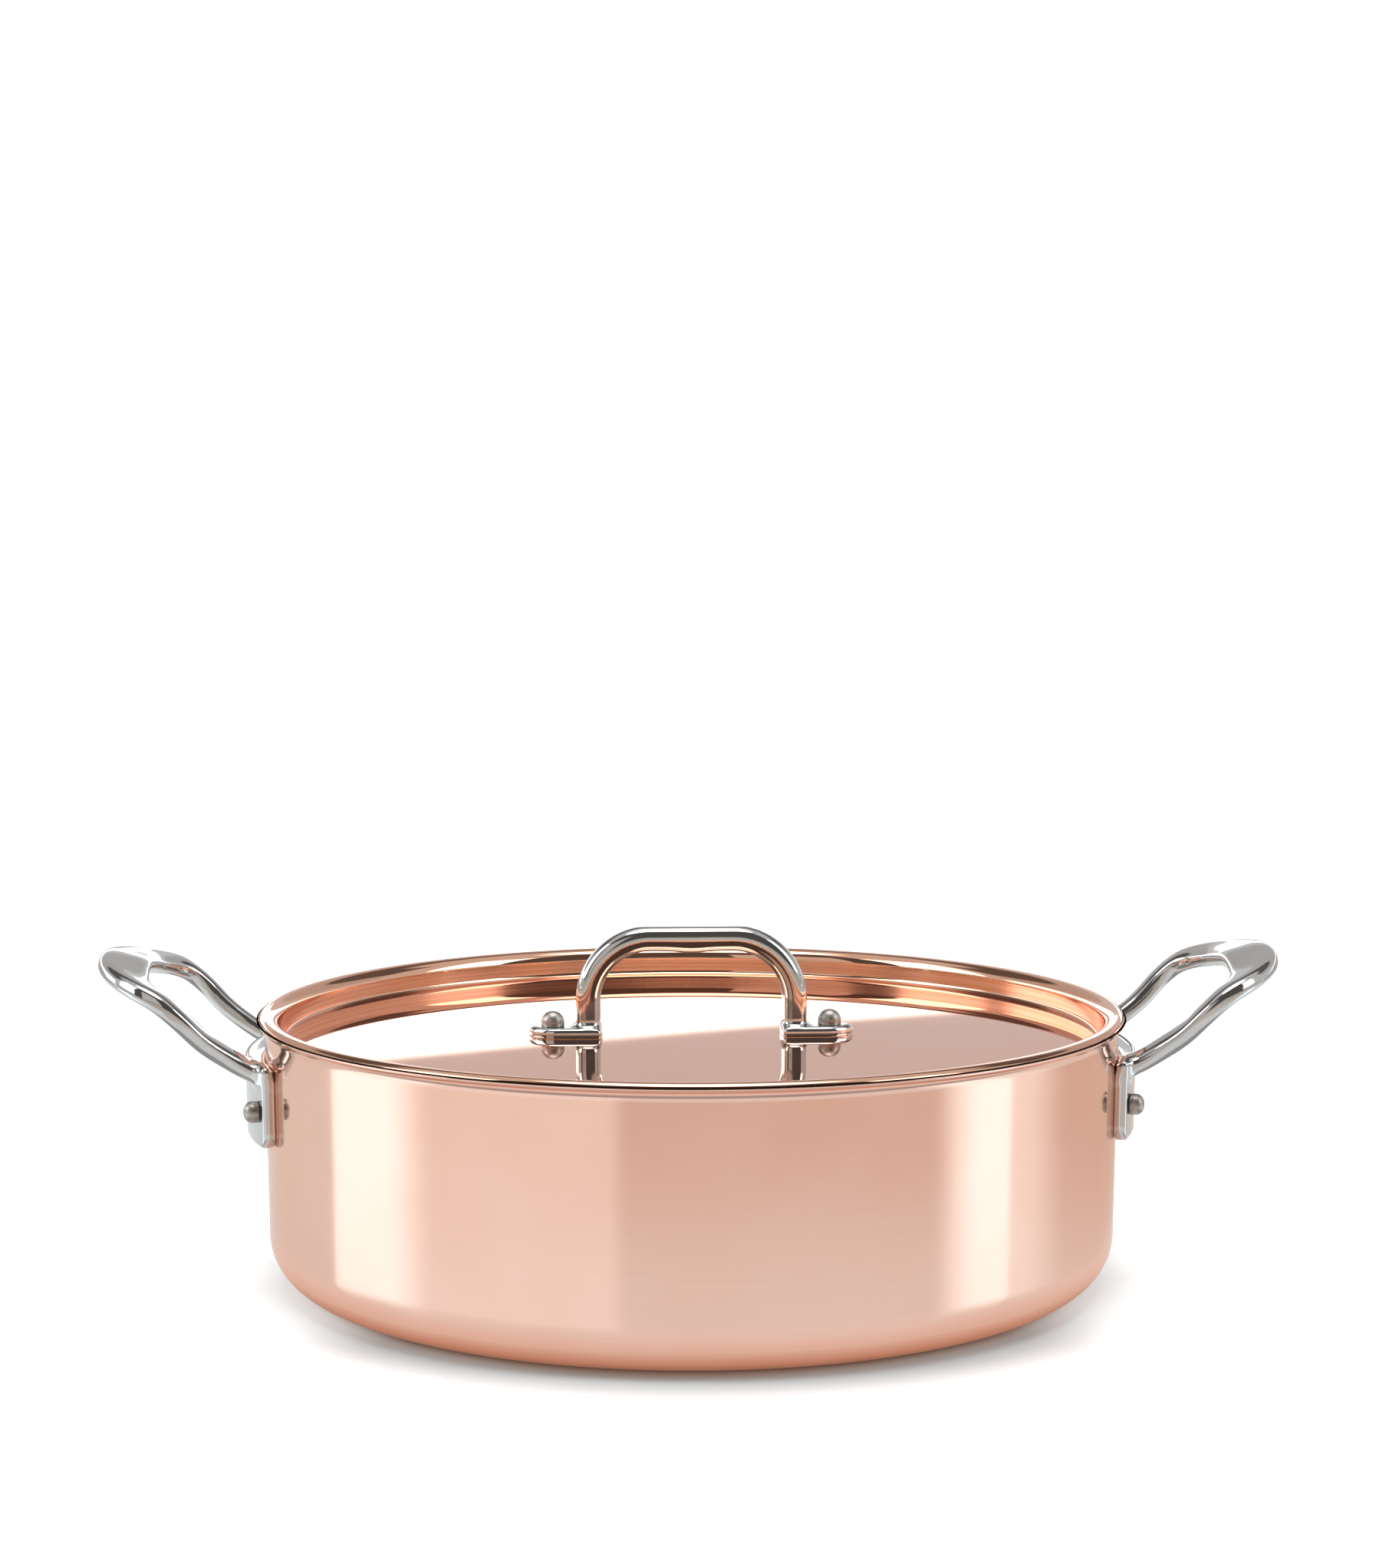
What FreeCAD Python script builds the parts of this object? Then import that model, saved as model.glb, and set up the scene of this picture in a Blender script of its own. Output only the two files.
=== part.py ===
import FreeCAD, Part
import math
import os

# Shallow two-handled casserole pan with a drop-in lid.  Millimetres, +Z up.
# Origin: centre of the underside.  The side handles lie on +X and -X.

V = FreeCAD.Vector
os.makedirs("parts", exist_ok=True)

# ---------------------------------------------------------------- pan body
R_BODY = 140.0        # outside radius of the copper wall
T_COPPER = 0.6        # outer copper layer
T_CORE = 1.3          # aluminium core
T_LINING = 0.4        # inner steel layer
R_CORNER = 16.7       # outside radius between base and wall
R_FLARE = 3.6         # outside radius of the pouring lip's concave flare
R_LIP = 142.0         # outside radius of the lip
Z_LIP = 87.0          # where the flare reaches the lip's upright edge
H_RIM = 87.8          # ground flat top of the rim

# ---------------------------------------------------------------- lid
T_LID = 1.15          # whole lid sheet
T_LID_SKIN = 0.55     # copper part of it
Z_PLATE = 79.8        # top of the lid's sunk plate
Z_FLANGE = 89.3       # top of the lid's flange
R_LIDWALL = 134.8     # visible (inner) radius of the sunk wall
R_SINK = 1.6          # concave radius, wall to plate
R_SHOULDER = 4.0      # convex radius, wall to flange
R_ROLL_C = 139.8      # centre radius of the flange's rolled-down edge
R_ROLL = 2.3          # radius of that roll

# ---------------------------------------------------------------- side handles
R_PLATE_F = 105.5     # the back plate's outer face is a tighter curve than
X_PLATE_F = 41.0      # the wall: its radius and its centre's offset
BETA_PLATE = 17.1     # half angle of the back plate
Z_PL0, Z_PL1 = 50.2, 76.8
BETA_RIVET = 14.8
Z_RIVET = 62.0
R_SHANK = 2.5
R_HEAD = 3.45         # outer head radius
HEAD_H = 4.6          # outer head height
HEAD_CYL = 2.0        # upright part of the outer head
R_INHEAD = 4.5        # low head inside the pan
INHEAD_H = 1.8
Z_SPOT = 144.7        # radial distance of the outer head's seat

# loop centre line: x, y, z, half width, half thickness, slope of the loop's
# surface in degrees (half of a loop, the other half is its mirror in y)
LOOP = [
    (137.4, 34.0, 73.0, 5.4, 3.2, 28.0),
    (143.2, 34.0, 75.4, 5.4, 3.1, 36.0),
    (149.4, 34.8, 79.3, 5.2, 3.1, 43.0),
    (156.6, 36.9, 84.7, 5.0, 3.15, 44.0),
    (163.1, 38.6, 91.5, 4.9, 3.15, 42.0),
    (169.6, 37.6, 97.1, 5.1, 3.2, 34.0),
    (176.0, 32.9, 100.1, 6.1, 3.2, 25.0),
    (181.2, 23.9, 102.2, 7.3, 3.15, 21.0),
    (184.0, 12.5, 103.9, 8.2, 3.1, 17.5),
    (184.8, 0.0, 104.8, 8.3, 3.1, 16.0),
]
N_SECTION = 3.2       # superellipse exponent of the loop's section

# ---------------------------------------------------------------- lid handle
X_LEG = 34.1          # legs' centre
HALF_LEG = 4.1        # half of the legs' width across the bail
HALF_Y = 4.75         # half depth of the bail
Z_BAR = 111.7         # centre line of the bar
HALF_BAR = 4.2        # half thickness of the bar
R_BEND = 20.5         # bend radius of the centre line
Z_BAIL_TOP = 115.7    # ground flat on top of the bar
SWELL = 0.6           # swell of the bar's underside at the middle
FOOT_IN = 29.9        # inner end of a foot
FOOT_CORNER = 47.0    # where a foot starts to taper
FOOT_TIP = 53.7       # outer end of a foot
FOOT_HALF = 7.0       # half width of a foot
FOOT_T = 3.0
X_LIDRIVET = 45.8
R_LIDSHANK = 2.4
R_LIDHEAD = 3.85
LIDHEAD_H = 5.0
LIDHEAD_CYL = 1.3
R_LIDTAIL = 4.0
LIDTAIL_H = 1.2


def line(a, b):
    return Part.LineSegment(V(*a), V(*b)).toShape()


def arc3(a, m, b):
    return Part.Arc(V(*a), V(*m), V(*b)).toShape()


def rz(r, z):
    return (r, 0.0, z)


def arc_c(cr, cz, rad, a0, a1):
    """Arc in the r-z plane about (cr, cz), angles in degrees from +r."""
    am = 0.5 * (a0 + a1)
    p = [rz(cr + rad * math.cos(math.radians(a)), cz + rad * math.sin(math.radians(a))) for a in (a0, am, a1)]
    return arc3(*p), p[0], p[2]


def revolve(edges):
    wire = Part.Wire(Part.__sortEdges__(edges))
    face = Part.Face(wire)
    s = face.revolve(V(0, 0, 0), V(0, 0, 1), 360)
    if s.Volume < 0:
        s.reverse()
    return s


# ------------------------------------------------ pan wall: offset curves
PHI_LIP = math.acos((R_BODY + R_FLARE - R_LIP) / R_FLARE)
Z_FLARE = Z_LIP - R_FLARE * math.sin(PHI_LIP)


def wall_curve(off):
    """Edges of the wall's section at an inward offset, and its end points."""
    edges = []
    a = rz(0, off)
    b = rz(R_BODY - R_CORNER, off)
    edges.append(line(a, b))
    e, p, q = arc_c(R_BODY - R_CORNER, R_CORNER, R_CORNER - off, -90, 0)
    edges.append(e)
    w = rz(R_BODY - off, Z_FLARE)
    edges.append(line(q, w))
    rad = R_FLARE + off
    if off == 0:
        e, p, q = arc_c(R_BODY + R_FLARE, Z_FLARE, rad, 180, 180 - math.degrees(PHI_LIP))
        edges.append(e)
        top = rz(R_LIP, H_RIM)
        edges.append(line(q, top))
    else:
        phi = math.asin((H_RIM - Z_FLARE) / rad)
        e, p, top = arc_c(R_BODY + R_FLARE, Z_FLARE, rad, 180, 180 - math.degrees(phi))
        edges.append(e)
    return edges, a, top


def wall_layer(o1, o2):
    e1, a1, t1 = wall_curve(o1)
    e2, a2, t2 = wall_curve(o2)
    return revolve(e1 + e2 + [line(t1, t2), line(a1, a2)])


copper = wall_layer(0.0, T_COPPER)
core = wall_layer(T_COPPER, T_COPPER + T_CORE)
lining = wall_layer(T_COPPER + T_CORE, T_COPPER + T_CORE + T_LINING)


# ------------------------------------------------ lid sheet
def lid_curve(off):
    """Section of the lid at a depth below its visible top surface."""
    edges = []
    a = rz(0, Z_PLATE - off)
    b = rz(R_LIDWALL - R_SINK, Z_PLATE - off)
    edges.append(line(a, b))
    e, p, q = arc_c(R_LIDWALL - R_SINK, Z_PLATE + R_SINK, R_SINK + off, -90, 0)
    edges.append(e)
    u = rz(R_LIDWALL + off, Z_FLANGE - R_SHOULDER)
    edges.append(line(q, u))
    e, p, q = arc_c(R_LIDWALL + R_SHOULDER, Z_FLANGE - R_SHOULDER, R_SHOULDER - off, 180, 90)
    edges.append(e)
    if R_ROLL - off > T_LID + 0.01:
        w = rz(R_ROLL_C, Z_FLANGE - off)
        edges.append(line(q, w))
        rad = R_ROLL - off
        low = Z_FLANGE - T_LID
        ang = math.degrees(math.asin((low - (Z_FLANGE - R_ROLL)) / rad))
        if off < T_LID - 1e-6:
            e, p, end = arc_c(R_ROLL_C, Z_FLANGE - R_ROLL, rad, 90, ang)
            edges.append(e)
            return edges, a, end
    # the underside is flat out to where the lining meets the skin
    return edges, a, q


def lid_layer(o1, o2):
    e1, a1, t1 = lid_curve(o1)
    if o2 < T_LID - 1e-6:
        e2, a2, t2 = lid_curve(o2)
    else:
        e2, a2, t2 = [], None, None
        a2 = rz(0, Z_PLATE - o2)
        b = rz(R_LIDWALL - R_SINK, Z_PLATE - o2)
        e2.append(line(a2, b))
        e, p, q = arc_c(R_LIDWALL - R_SINK, Z_PLATE + R_SINK, R_SINK + o2, -90, 0)
        e2.append(e)
        u = rz(R_LIDWALL + o2, Z_FLANGE - R_SHOULDER)
        e2.append(line(q, u))
        e, p, t2 = arc_c(R_LIDWALL + R_SHOULDER, Z_FLANGE - R_SHOULDER, R_SHOULDER - o2, 180, 90)
        e2.append(e)
    return revolve(e1 + e2 + [line(t1, t2), line(a1, a2)])


skin = lid_layer(0.0, T_LID_SKIN)
lid_lining = lid_layer(T_LID_SKIN, T_LID)


# ------------------------------------------------ lofted bars
def catmull(points, t):
    """Smooth interpolation through rows of numbers, t in 0 .. len-1."""
    n = len(points)
    i = max(0, min(n - 2, int(math.floor(t))))
    u = t - i
    p1, p2 = points[i], points[i + 1]
    p0 = points[i - 1] if i > 0 else tuple(2 * a - b for a, b in zip(p1, p2))
    p3 = points[i + 2] if i + 2 < n else tuple(2 * b - a for a, b in zip(p1, p2))
    out = []
    for a, b, c, d in zip(p0, p1, p2, p3):
        out.append(0.5 * ((2 * b) + (-a + c) * u + (2 * a - 5 * b + 4 * c - d) * u * u
                          + (-a + 3 * b - 3 * c + d) * u ** 3))
    return tuple(out)


def section_wire(centre, ax_w, ax_t, a, b, n, count=20, swell=0.0):
    pts = []
    for k in range(count):
        th = 2 * math.pi * (k + 0.5) / count
        c, s = math.cos(th), math.sin(th)
        u = a * math.copysign(abs(c) ** (2.0 / n), c)
        v = b * math.copysign(abs(s) ** (2.0 / n), s)
        if swell and v < 0:
            v -= swell * abs(s)
        pts.append(centre + ax_w * u + ax_t * v)
    bs = Part.BSplineCurve()
    bs.interpolate(pts, PeriodicFlag=True)
    return Part.Wire([bs.toShape()])


def loop_rows():
    half = list(LOOP)
    other = [(x, -y, z, a, b, s) for (x, y, z, a, b, s) in half[:-1]]
    return half + other[::-1]


def side_loop():
    rows = loop_rows()
    n = len(rows)
    wires = []
    steps = 36
    for k in range(steps + 1):
        t = (n - 1) * k / steps
        x, y, z, a, b, s = catmull(rows, t)
        e = 1e-3
        q0 = catmull(rows, max(0, t - e))
        q1 = catmull(rows, min(n - 1, t + e))
        d = V(q1[0] - q0[0], q1[1] - q0[1], q1[2] - q0[2])
        d.normalize()
        sr = math.radians(s)
        t0 = V(-math.sin(sr), 0, math.cos(sr))
        t0 = t0 - d * t0.dot(d)
        t0.normalize()
        w = d.cross(t0)
        w.normalize()
        wires.append(section_wire(V(x, y, z), w, t0, a, b, N_SECTION))
    return Part.makeLoft(wires, True, False)


def back_plate():
    h = Z_PL1 - Z_PL0
    wedge = Part.makeCylinder(200, h, V(0, 0, Z_PL0), V(0, 0, 1), 2 * BETA_PLATE)
    wedge.rotate(V(0, 0, 0), V(0, 0, 1), -BETA_PLATE)
    face = Part.makeCylinder(R_PLATE_F, h + 2, V(X_PLATE_F, 0, Z_PL0 - 1))
    sector = wedge.common(face).cut(Part.makeCylinder(R_BODY, h + 2, V(0, 0, Z_PL0 - 1)))
    # rounded lower corners, seen on the plate's face
    low = []
    for e in sector.Edges:
        m = e.CenterOfMass
        if len(e.Vertexes) == 2 and abs(m.z - Z_PL0) < 0.1 and abs(abs(math.degrees(math.atan2(m.y, m.x))) - BETA_PLATE) < 0.1:
            low.append(e)
    sector = sector.makeFillet(5.0, low)
    rim = []
    for e in sector.Edges:
        ok = True
        for t in (0.1, 0.5, 0.9):
            p = e.valueAt(e.FirstParameter + t * (e.LastParameter - e.FirstParameter))
            if abs(math.hypot(p.x - X_PLATE_F, p.y) - R_PLATE_F) > 0.05:
                ok = False
        if ok:
            rim.append(e)
    return sector.makeFillet(1.5, rim)


def radial(beta_deg):
    b = math.radians(beta_deg)
    return V(math.cos(b), math.sin(b), 0)


def rivet_hole(beta_deg, r0, r1, rad):
    d = radial(beta_deg)
    return Part.makeCylinder(rad, r1 - r0, d * r0 + V(0, 0, Z_RIVET), d)


def domed(profile, origin, axis):
    """Solid of revolution from (radius, height) points with a rounded head."""
    wire = Part.Wire(profile)
    face = Part.Face(wire)
    s = face.revolve(V(0, 0, 0), V(0, 0, 1), 360)
    if s.Volume < 0:
        s.reverse()
    rot = FreeCAD.Rotation(V(0, 0, 1), axis)
    s.Placement = FreeCAD.Placement(origin, rot)
    return s


def head_profile(r_shank, r_head, h_cyl, h_all, seat, r_tail, h_tail, tail_seat):
    """Half section: tail head, shank, outer head.  Heights along the axis."""
    t45 = math.sqrt(0.5)
    dome = h_all - h_cyl
    edges = [
        line((0, 0, tail_seat - h_tail), (0, 0, seat + h_all)),
    ]
    # outer head: upright side and a rounded dome
    p_mid = (r_head * t45, 0, seat + h_cyl + dome * t45)
    e1 = Part.BSplineCurve()
    pts = []
    for k in range(9):
        th = math.pi / 2 * k / 8
        c, s = math.cos(th), math.sin(th)
        pts.append(V(r_head * (c ** 0.92 if c > 1e-9 else 0.0), 0, seat + h_cyl + dome * s))
    e1.interpolate(pts)
    edges.append(e1.toShape())
    edges.append(line((r_head, 0, seat + h_cyl), (r_head, 0, seat)))
    edges.append(line((r_head, 0, seat), (r_shank, 0, seat)))
    edges.append(line((r_shank, 0, seat), (r_shank, 0, tail_seat)))
    edges.append(line((r_shank, 0, tail_seat), (r_tail, 0, tail_seat)))
    e2 = Part.BSplineCurve()
    pts = []
    for k in range(9):
        th = math.pi / 2 * k / 8
        c, s = math.cos(th), math.sin(th)
        pts.append(V(r_tail * (c if c > 1e-9 else 0.0), 0, tail_seat - h_tail * s))
    e2.interpolate(pts)
    edges.append(e2.toShape())
    return Part.__sortEdges__(edges)


TAIL_SEAT = math.sqrt((R_BODY - T_COPPER - T_CORE - T_LINING) ** 2 - R_INHEAD ** 2) - 0.01
HANDLE_RIVETS = {}
for side, base in (("right", 0.0), ("left", 180.0)):
    for where, sign in (("front", -1.0), ("rear", 1.0)):
        beta = sign * BETA_RIVET if side == "right" else 180.0 - sign * BETA_RIVET
        prof = head_profile(R_SHANK, R_HEAD, HEAD_CYL, HEAD_H, Z_SPOT, R_INHEAD, INHEAD_H, TAIL_SEAT)
        HANDLE_RIVETS[side + "_handle_" + where + "_rivet"] = (beta, domed(prof, V(0, 0, Z_RIVET), radial(beta)))

# side handle on +X, then its twin turned half a turn
plate = back_plate()
loop = side_loop()
handle = plate.fuse(loop)
handle = handle.cut(Part.makeCylinder(R_BODY, 60, V(0, 0, 40)))
for sign in (-1, 1):
    handle = handle.cut(rivet_hole(sign * BETA_RIVET, R_BODY - 5, Z_SPOT + 8, R_SHANK))
    handle = handle.cut(rivet_hole(sign * BETA_RIVET, Z_SPOT, Z_SPOT + 3.0, R_HEAD + 0.05))
right_handle = max(handle.Solids, key=lambda s: s.Volume)
left_handle = right_handle.copy()
left_handle.rotate(V(0, 0, 0), V(0, 0, 1), 180)

holes = [rivet_hole(b, 130, 150, R_SHANK) for b in (BETA_RIVET, -BETA_RIVET, 180 - BETA_RIVET, 180 + BETA_RIVET)]


def pierce(shape, tools):
    for t in tools:
        shape = shape.cut(t)
    return shape


copper = pierce(copper, holes)
core = pierce(core, holes)
lining = pierce(lining, holes)


# ------------------------------------------------ lid handle
def bail_path():
    """Centre line stations: x, z, tangent, half thickness, swell."""
    pts = []
    z0 = Z_PLATE + 1.0
    z_bend = Z_BAR - R_BEND
    x_bend = X_LEG - R_BEND
    for k in range(4):
        z = z0 + (z_bend - z0) * k / 4.0
        pts.append((X_LEG, z, 90.0))
    for k in range(9):
        a = 90.0 * k / 8
        pts.append((x_bend + R_BEND * math.cos(math.radians(a)), z_bend + R_BEND * math.sin(math.radians(a)), 90.0 + a))
    for x in (12.0, 8.5, 5.5, 2.7, 0.0):
        pts.append((x, Z_BAR, 180.0))
    rest = [(-x, z, 360.0 - t) for (x, z, t) in pts[:-1]]
    return pts + rest[::-1]


def bail():
    wires = []
    for x, z, t in bail_path():
        tr = math.radians(t)
        d = V(math.cos(tr), 0, math.sin(tr))
        outward = V(d.z, 0, -d.x)       # away from the middle of the bail
        frac = max(0.0, min(1.0, (z - 82.0) / (Z_BAR - 82.0)))
        half = HALF_LEG + (HALF_BAR - HALF_LEG) * frac ** 2
        sw = SWELL * math.exp(-(x / 6.0) ** 2) if z > Z_BAR - 1 else 0.0
        wires.append(section_wire(V(x, 0, z), V(0, 1, 0), outward, HALF_Y, half, 2.35, 20, sw))
    return Part.makeLoft(wires, True, False)


def foot(sign):
    tip_half = 2.6
    p = [
        (FOOT_IN, -FOOT_HALF), (FOOT_CORNER, -FOOT_HALF), (FOOT_TIP - 1.6, -tip_half - 0.9),
    ]
    e = []
    def pt(x, y):
        return V(sign * x, y, Z_PLATE)
    e.append(Part.LineSegment(pt(*p[0]), pt(*p[1])).toShape())
    e.append(Part.LineSegment(pt(*p[1]), pt(*p[2])).toShape())
    e.append(Part.Arc(pt(*p[2]), pt(FOOT_TIP, 0), pt(p[2][0], -p[2][1])).toShape())
    e.append(Part.LineSegment(pt(p[2][0], -p[2][1]), pt(p[1][0], -p[1][1])).toShape())
    e.append(Part.LineSegment(pt(p[1][0], -p[1][1]), pt(p[0][0], -p[0][1])).toShape())
    e.append(Part.LineSegment(pt(p[0][0], -p[0][1]), pt(*p[0])).toShape())
    face = Part.Face(Part.Wire(e))
    body = face.extrude(V(0, 0, FOOT_T))
    if body.Volume < 0:
        body.reverse()
    upright = [ed for ed in body.Edges if abs(ed.CenterOfMass.z - (Z_PLATE + FOOT_T / 2)) < 0.01
               and len(ed.Vertexes) == 2 and abs(ed.Vertexes[0].X - ed.Vertexes[1].X) < 1e-6
               and abs(ed.Vertexes[0].Y - ed.Vertexes[1].Y) < 1e-6]
    body = body.makeFillet(1.2, upright)
    top = [ed for ed in body.Edges if all(abs(v.Z - (Z_PLATE + FOOT_T)) < 1e-6 for v in ed.Vertexes)]
    return body.makeFillet(0.7, top)


bar = bail()
lid_handle = bar.fuse(foot(1)).fuse(foot(-1))
lid_handle = lid_handle.cut(Part.makeBox(200, 60, 10, V(-100, -30, Z_BAIL_TOP)))
lid_handle = lid_handle.cut(Part.makeBox(200, 60, 10, V(-100, -30, Z_PLATE - 10)))
for sign in (-1, 1):
    lid_handle = lid_handle.cut(Part.makeCylinder(R_LIDSHANK, 20, V(sign * X_LIDRIVET, 0, Z_PLATE - 8)))
    hole = Part.makeCylinder(R_LIDSHANK, 10, V(sign * X_LIDRIVET, 0, Z_PLATE - 5))
    skin = skin.cut(hole)
    lid_lining = lid_lining.cut(hole)
lid_handle = max(lid_handle.Solids, key=lambda s: s.Volume)

lid_rivets = {}
for name, sign in (("left", -1), ("right", 1)):
    prof = head_profile(R_LIDSHANK, R_LIDHEAD, LIDHEAD_CYL, LIDHEAD_H, Z_PLATE + FOOT_T,
                        R_LIDTAIL, LIDTAIL_H, Z_PLATE - T_LID)
    lid_rivets["lid_handle_" + name + "_rivet"] = domed(prof, V(sign * X_LIDRIVET, 0, 0), V(0, 0, 1))

# ------------------------------------------------ write the pieces
nodes = {
    "pan_copper_shell": copper,
    "pan_aluminium_core": core,
    "pan_steel_lining": lining,
    "left_side_handle": left_handle,
    "right_side_handle": right_handle,
    "lid_copper_skin": skin,
    "lid_steel_lining": lid_lining,
    "lid_handle": lid_handle,
}
for name, (beta, shape) in HANDLE_RIVETS.items():
    nodes[name] = shape
nodes.update(lid_rivets)

for name, shape in nodes.items():
    solids = shape.Solids
    if len(solids) == 1:
        shape = solids[0]
    bb = shape.BoundBox
    print("%-28s solids %d valid %s vol %.1f  x %.2f %.2f  y %.2f %.2f  z %.2f %.2f" % (
        name, len(solids), shape.isValid(), shape.Volume, bb.XMin, bb.XMax, bb.YMin, bb.YMax, bb.ZMin, bb.ZMax))
    shape.exportStep("parts/" + name + ".step")
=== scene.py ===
import math

import bpy
import numpy as np
from mathutils import Matrix, Vector


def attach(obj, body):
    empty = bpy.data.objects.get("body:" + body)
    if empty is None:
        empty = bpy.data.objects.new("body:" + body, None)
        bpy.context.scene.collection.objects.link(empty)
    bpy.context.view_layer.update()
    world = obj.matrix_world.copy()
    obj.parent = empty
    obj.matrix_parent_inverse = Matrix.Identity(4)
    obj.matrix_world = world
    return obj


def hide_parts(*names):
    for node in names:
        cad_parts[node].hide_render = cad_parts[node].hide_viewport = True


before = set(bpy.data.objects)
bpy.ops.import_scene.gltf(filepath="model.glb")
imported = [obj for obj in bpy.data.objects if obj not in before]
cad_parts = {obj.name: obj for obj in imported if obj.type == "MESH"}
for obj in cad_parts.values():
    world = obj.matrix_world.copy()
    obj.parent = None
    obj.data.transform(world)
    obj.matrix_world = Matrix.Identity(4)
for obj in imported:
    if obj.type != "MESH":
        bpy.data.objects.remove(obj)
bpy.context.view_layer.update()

MM = 0.001

# ------------------------------------------------------------------ sizes (mm)
R_BODY, T_CU, T_AL, T_ST = 140.0, 0.6, 1.3, 0.4
R_CORNER, R_FLARE, R_LIP, Z_LIP, H_RIM = 16.7, 3.6, 142.0, 87.0, 87.8
T_LID, T_SKIN, Z_PLATE, Z_FLANGE = 1.15, 0.55, 79.8, 89.3
R_LIDWALL, R_SINK, R_SHOULDER, R_ROLL_C, R_ROLL = 134.8, 1.6, 4.0, 139.8, 2.3
R_PLATE_F, X_PLATE_F, BETA_PLATE, Z_PL0, Z_PL1 = 105.5, 41.0, 17.1, 50.2, 76.8
BETA_RIVET, Z_RIVET, R_HEAD, HEAD_H, HEAD_CYL = 14.8, 62.0, 3.45, 4.6, 2.0
R_INHEAD, INHEAD_H, Z_SPOT = 4.5, 1.8, 144.7
LOOP = [
    (131.0, 34.0, 70.2, 5.4, 3.2, 26.0),
    (137.4, 34.0, 73.0, 5.4, 3.2, 28.0),
    (143.2, 34.0, 75.4, 5.4, 3.1, 36.0),
    (149.4, 34.8, 79.3, 5.2, 3.1, 43.0),
    (156.6, 36.9, 84.7, 5.0, 3.15, 44.0),
    (163.1, 38.6, 91.5, 4.9, 3.15, 42.0),
    (169.6, 37.6, 97.1, 5.1, 3.2, 34.0),
    (176.0, 32.9, 100.1, 6.1, 3.2, 25.0),
    (181.2, 23.9, 102.2, 7.3, 3.15, 21.0),
    (184.0, 12.5, 103.9, 8.2, 3.1, 17.5),
    (184.8, 0.0, 104.8, 8.3, 3.1, 16.0),
]
N_SECTION = 3.2
X_LEG, HALF_LEG, HALF_Y, Z_BAR, HALF_BAR, R_BEND = 34.1, 4.1, 4.75, 111.7, 4.2, 20.5
Z_BAIL_TOP, SWELL = 115.7, 0.6
FOOT_IN, FOOT_CORNER, FOOT_TIP, FOOT_HALF, FOOT_T = 29.9, 47.0, 53.7, 7.0, 3.0
X_LIDRIVET, R_LIDHEAD, LIDHEAD_H, LIDHEAD_CYL, R_LIDTAIL, LIDTAIL_H = 45.8, 3.85, 5.0, 1.3, 4.0, 1.2

CAM_TURN = math.radians(2.65)


# ================================================================== materials
class Nodes:
    """Small helper that adds nodes to one tree."""

    def __init__(self, tree):
        self.t = tree
        tree.nodes.clear()

    def new(self, kind, **props):
        n = self.t.nodes.new(kind)
        for k, v in props.items():
            setattr(n, k, v)
        return n

    def put(self, socket, value):
        if isinstance(value, bpy.types.NodeSocket):
            self.t.links.new(value, socket)
        else:
            socket.default_value = value

    def math(self, op, a, b=None, c=None, clamp=False):
        n = self.new("ShaderNodeMath", operation=op, use_clamp=clamp)
        self.put(n.inputs[0], a)
        if b is not None:
            self.put(n.inputs[1], b)
        if c is not None:
            self.put(n.inputs[2], c)
        return n.outputs[0]

    def remap(self, x, a, b, lo=0.0, hi=1.0, smooth=True):
        n = self.new("ShaderNodeMapRange", interpolation_type="SMOOTHSTEP" if smooth else "LINEAR")
        n.clamp = True
        self.put(n.inputs["Value"], x)
        n.inputs["From Min"].default_value = a
        n.inputs["From Max"].default_value = b
        n.inputs["To Min"].default_value = lo
        n.inputs["To Max"].default_value = hi
        return n.outputs["Result"]

    def mix(self, fac, a, b, mode="MIX"):
        n = self.new("ShaderNodeMix", data_type="RGBA", blend_type=mode)
        self.put(n.inputs[0], fac)
        self.put(n.inputs[6], a if isinstance(a, bpy.types.NodeSocket) else (*a, 1.0))
        self.put(n.inputs[7], b if isinstance(b, bpy.types.NodeSocket) else (*b, 1.0))
        return n.outputs[2]

    def noise(self, vector, scale, detail=2.0, rough=0.5):
        n = self.new("ShaderNodeTexNoise")
        n.inputs["Scale"].default_value = scale
        n.inputs["Detail"].default_value = detail
        n.inputs["Roughness"].default_value = rough
        self.put(n.inputs["Vector"], vector)
        return n.outputs["Fac"]

    def combine(self, x, y, z):
        n = self.new("ShaderNodeCombineXYZ")
        for i, v in enumerate((x, y, z)):
            self.put(n.inputs[i], v)
        return n.outputs[0]


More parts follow.
